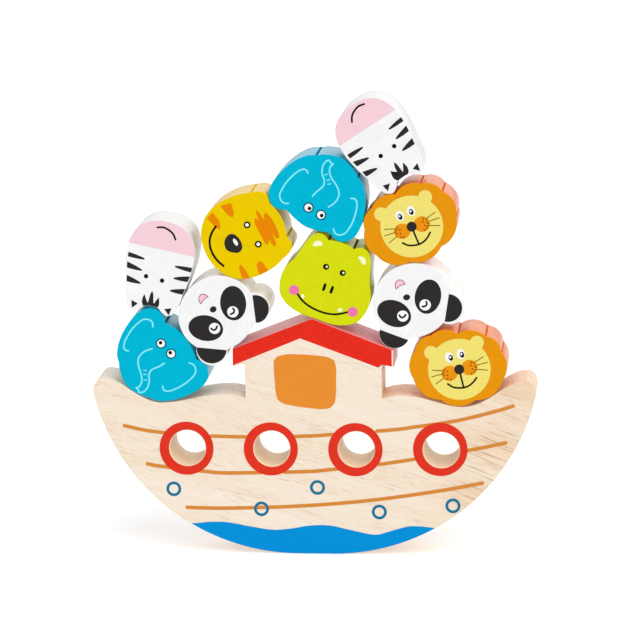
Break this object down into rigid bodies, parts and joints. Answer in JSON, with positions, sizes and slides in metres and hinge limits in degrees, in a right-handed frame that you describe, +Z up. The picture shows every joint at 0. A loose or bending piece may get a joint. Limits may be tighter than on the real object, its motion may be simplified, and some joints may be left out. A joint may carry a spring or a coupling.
{
  "type": "wooden balance game",
  "caption": "Boat-shaped wooden board on a rounded keel, with loose animal head blocks to stack on its deck and roof until they tip.",
  "frame": {"origin": "middle of the keel's flat, halfway through the board's thickness", "axes": "+Z up, +X to the right seen from the front, -Y towards the printed front"},
  "size_m": [0.22, 0.03, 0.2288],
  "materials": {
    "ark_wood": "satin clear-coated pale wood with printed ink",
    "elephant_paint": "satin blue paint on wood",
    "lion_paint": "satin orange paint on wood",
    "panda_paint": "satin white paint on wood",
    "hippo_paint": "satin lime green paint on wood",
    "zebra_paint": "satin white paint on wood",
    "tiger_paint": "satin yellow paint on wood"
  },
  "bodies": {
    "ark": {"ark": "ark_wood"},
    "elephant_low": {"elephant_low": "elephant_paint"},
    "elephant_top": {"elephant_top": "elephant_paint"},
    "lion_low": {"lion_low": "lion_paint"},
    "lion_top": {"lion_top": "lion_paint"},
    "panda_left": {"panda_left": "panda_paint"},
    "panda_right": {"panda_right": "panda_paint"},
    "hippo": {"hippo": "hippo_paint"},
    "zebra_low": {"zebra_low": "zebra_paint"},
    "zebra_top": {"zebra_top": "zebra_paint"},
    "tiger": {"tiger": "tiger_paint"}
  },
  "joints": [
    {"name": "elephant_low_draw", "type": "slide", "parent": "ark", "child": "elephant_low", "axis": [0, -1, 0], "range_m": [0, 0.045]},
    {"name": "elephant_top_draw", "type": "slide", "parent": "ark", "child": "elephant_top", "axis": [0, -1, 0], "range_m": [0, 0.045]},
    {"name": "lion_low_draw", "type": "slide", "parent": "ark", "child": "lion_low", "axis": [0, -1, 0], "range_m": [0, 0.045]},
    {"name": "lion_top_draw", "type": "slide", "parent": "ark", "child": "lion_top", "axis": [0, -1, 0], "range_m": [0, 0.045]},
    {"name": "panda_left_draw", "type": "slide", "parent": "ark", "child": "panda_left", "axis": [0, -1, 0], "range_m": [0, 0.045]},
    {"name": "panda_right_draw", "type": "slide", "parent": "ark", "child": "panda_right", "axis": [0, -1, 0], "range_m": [0, 0.045]},
    {"name": "hippo_draw", "type": "slide", "parent": "ark", "child": "hippo", "axis": [0, -1, 0], "range_m": [0, 0.045]},
    {"name": "zebra_low_draw", "type": "slide", "parent": "ark", "child": "zebra_low", "axis": [0, -1, 0], "range_m": [0, 0.045]},
    {"name": "zebra_top_draw", "type": "slide", "parent": "ark", "child": "zebra_top", "axis": [0, -1, 0], "range_m": [0, 0.045]},
    {"name": "tiger_draw", "type": "slide", "parent": "ark", "child": "tiger", "axis": [0, -1, 0], "range_m": [0, 0.045]}
  ]
}
